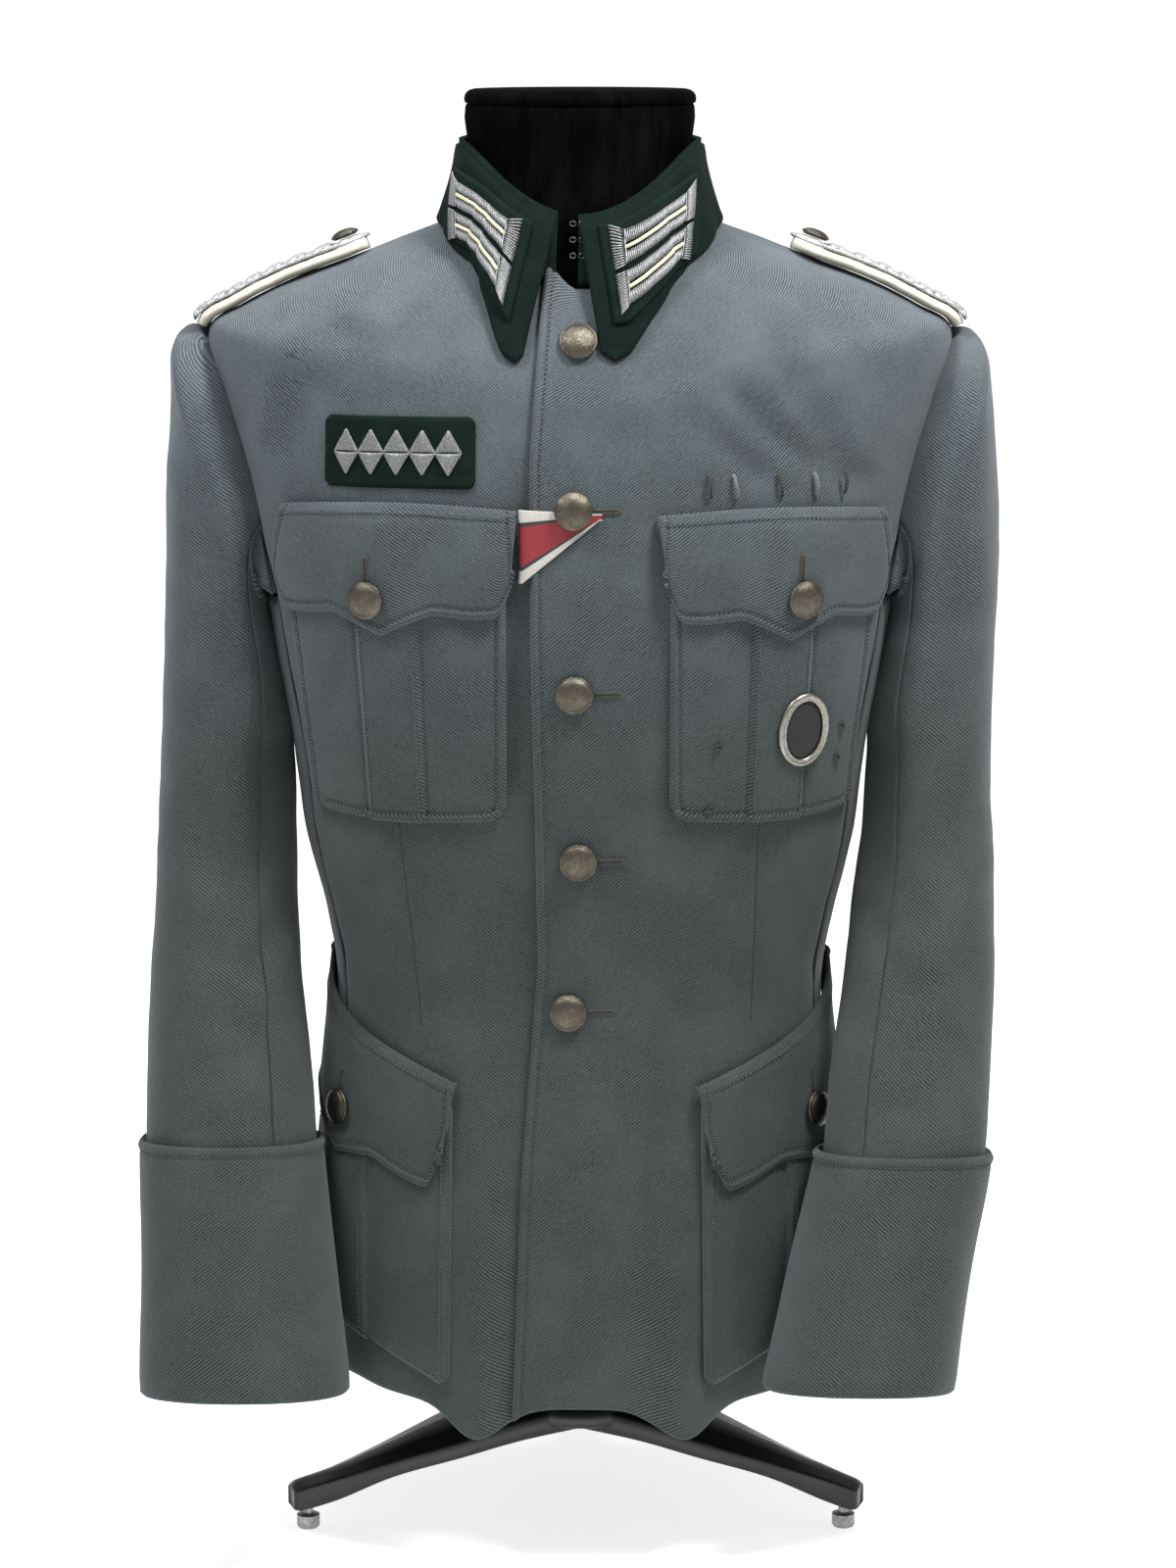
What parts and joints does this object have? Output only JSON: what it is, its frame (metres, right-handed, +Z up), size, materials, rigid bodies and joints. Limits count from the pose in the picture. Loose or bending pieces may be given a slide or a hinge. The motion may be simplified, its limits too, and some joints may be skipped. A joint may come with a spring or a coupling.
{
  "type": "wool field tunic on a limbless dress form with a cast base",
  "caption": "Wool field tunic with pleated flap pockets, felt collar, braided shoulder boards and deep turned-back cuffs, filled out by a limbless dress form on a cast floor base.",
  "frame": {"origin": "on the floor, at the middle of the object's footprint as seen from above", "axes": "+Z up along the neck, -Y the way the buttoned front faces, +X the wearer's left"},
  "size_m": [0.512, 0.3862, 0.869],
  "materials": {
    "wool": "matt wool twill",
    "collar_felt": "matt felt",
    "silver_cord": "silvery braid",
    "board_felt": "matt felt",
    "button_metal": "aged, pebbled",
    "ribbon_weave": "ribbed ribbon",
    "pin_metal": "worn bright edge",
    "pin_enamel": "satin",
    "velvet": "black velvet",
    "satin_black": "satin black",
    "pole_steel": "satin",
    "glide": "matt"
  },
  "bodies": {
    "root": {"back_left": "wool", "back_right": "wool", "badge_backing": "collar_felt", "badge_embroidery": "silver_cord", "board_braid_left": "silver_cord", "board_braid_right": "silver_cord", "board_underlay_left": "board_felt", "board_underlay_right": "board_felt", "breast_button_left": "button_metal", "breast_button_right": "button_metal", "breast_flap_left": "wool", "breast_flap_right": "wool", "breast_pocket_left": "wool", "breast_pocket_right": "wool", "collar_fall": "collar_felt", "collar_lace_left": "silver_cord", "collar_lace_right": "silver_cord", "collar_patch_left": "collar_felt", "collar_patch_right": "collar_felt", "collar_stand": "collar_felt", "cuff_left": "wool", "cuff_right": "wool", "form_neck_cap": "velvet", "form_torso": "velvet", "front_button_1": "button_metal", "front_button_2": "button_metal", "front_button_3": "button_metal", "front_button_4": "button_metal", "front_button_5": "button_metal", "front_left": "wool", "front_right": "wool", "hip_button_left": "button_metal", "hip_button_right": "button_metal", "hip_flap_left": "wool", "hip_flap_right": "wool", "hip_pocket_left": "wool", "hip_pocket_right": "wool", "pin_face": "pin_enamel", "pin_rim": "pin_metal", "ribbon": "ribbon_weave", "shoulder_button_left": "button_metal", "shoulder_button_right": "button_metal", "side_left": "wool", "side_right": "wool", "stand_base": "satin_black", "stand_foot_1": "glide", "stand_foot_2": "glide", "stand_foot_3": "glide", "stand_pole": "pole_steel", "under_sleeve_left": "wool", "under_sleeve_right": "wool", "upper_sleeve_left": "wool", "upper_sleeve_right": "wool"}
  },
  "joints": []
}
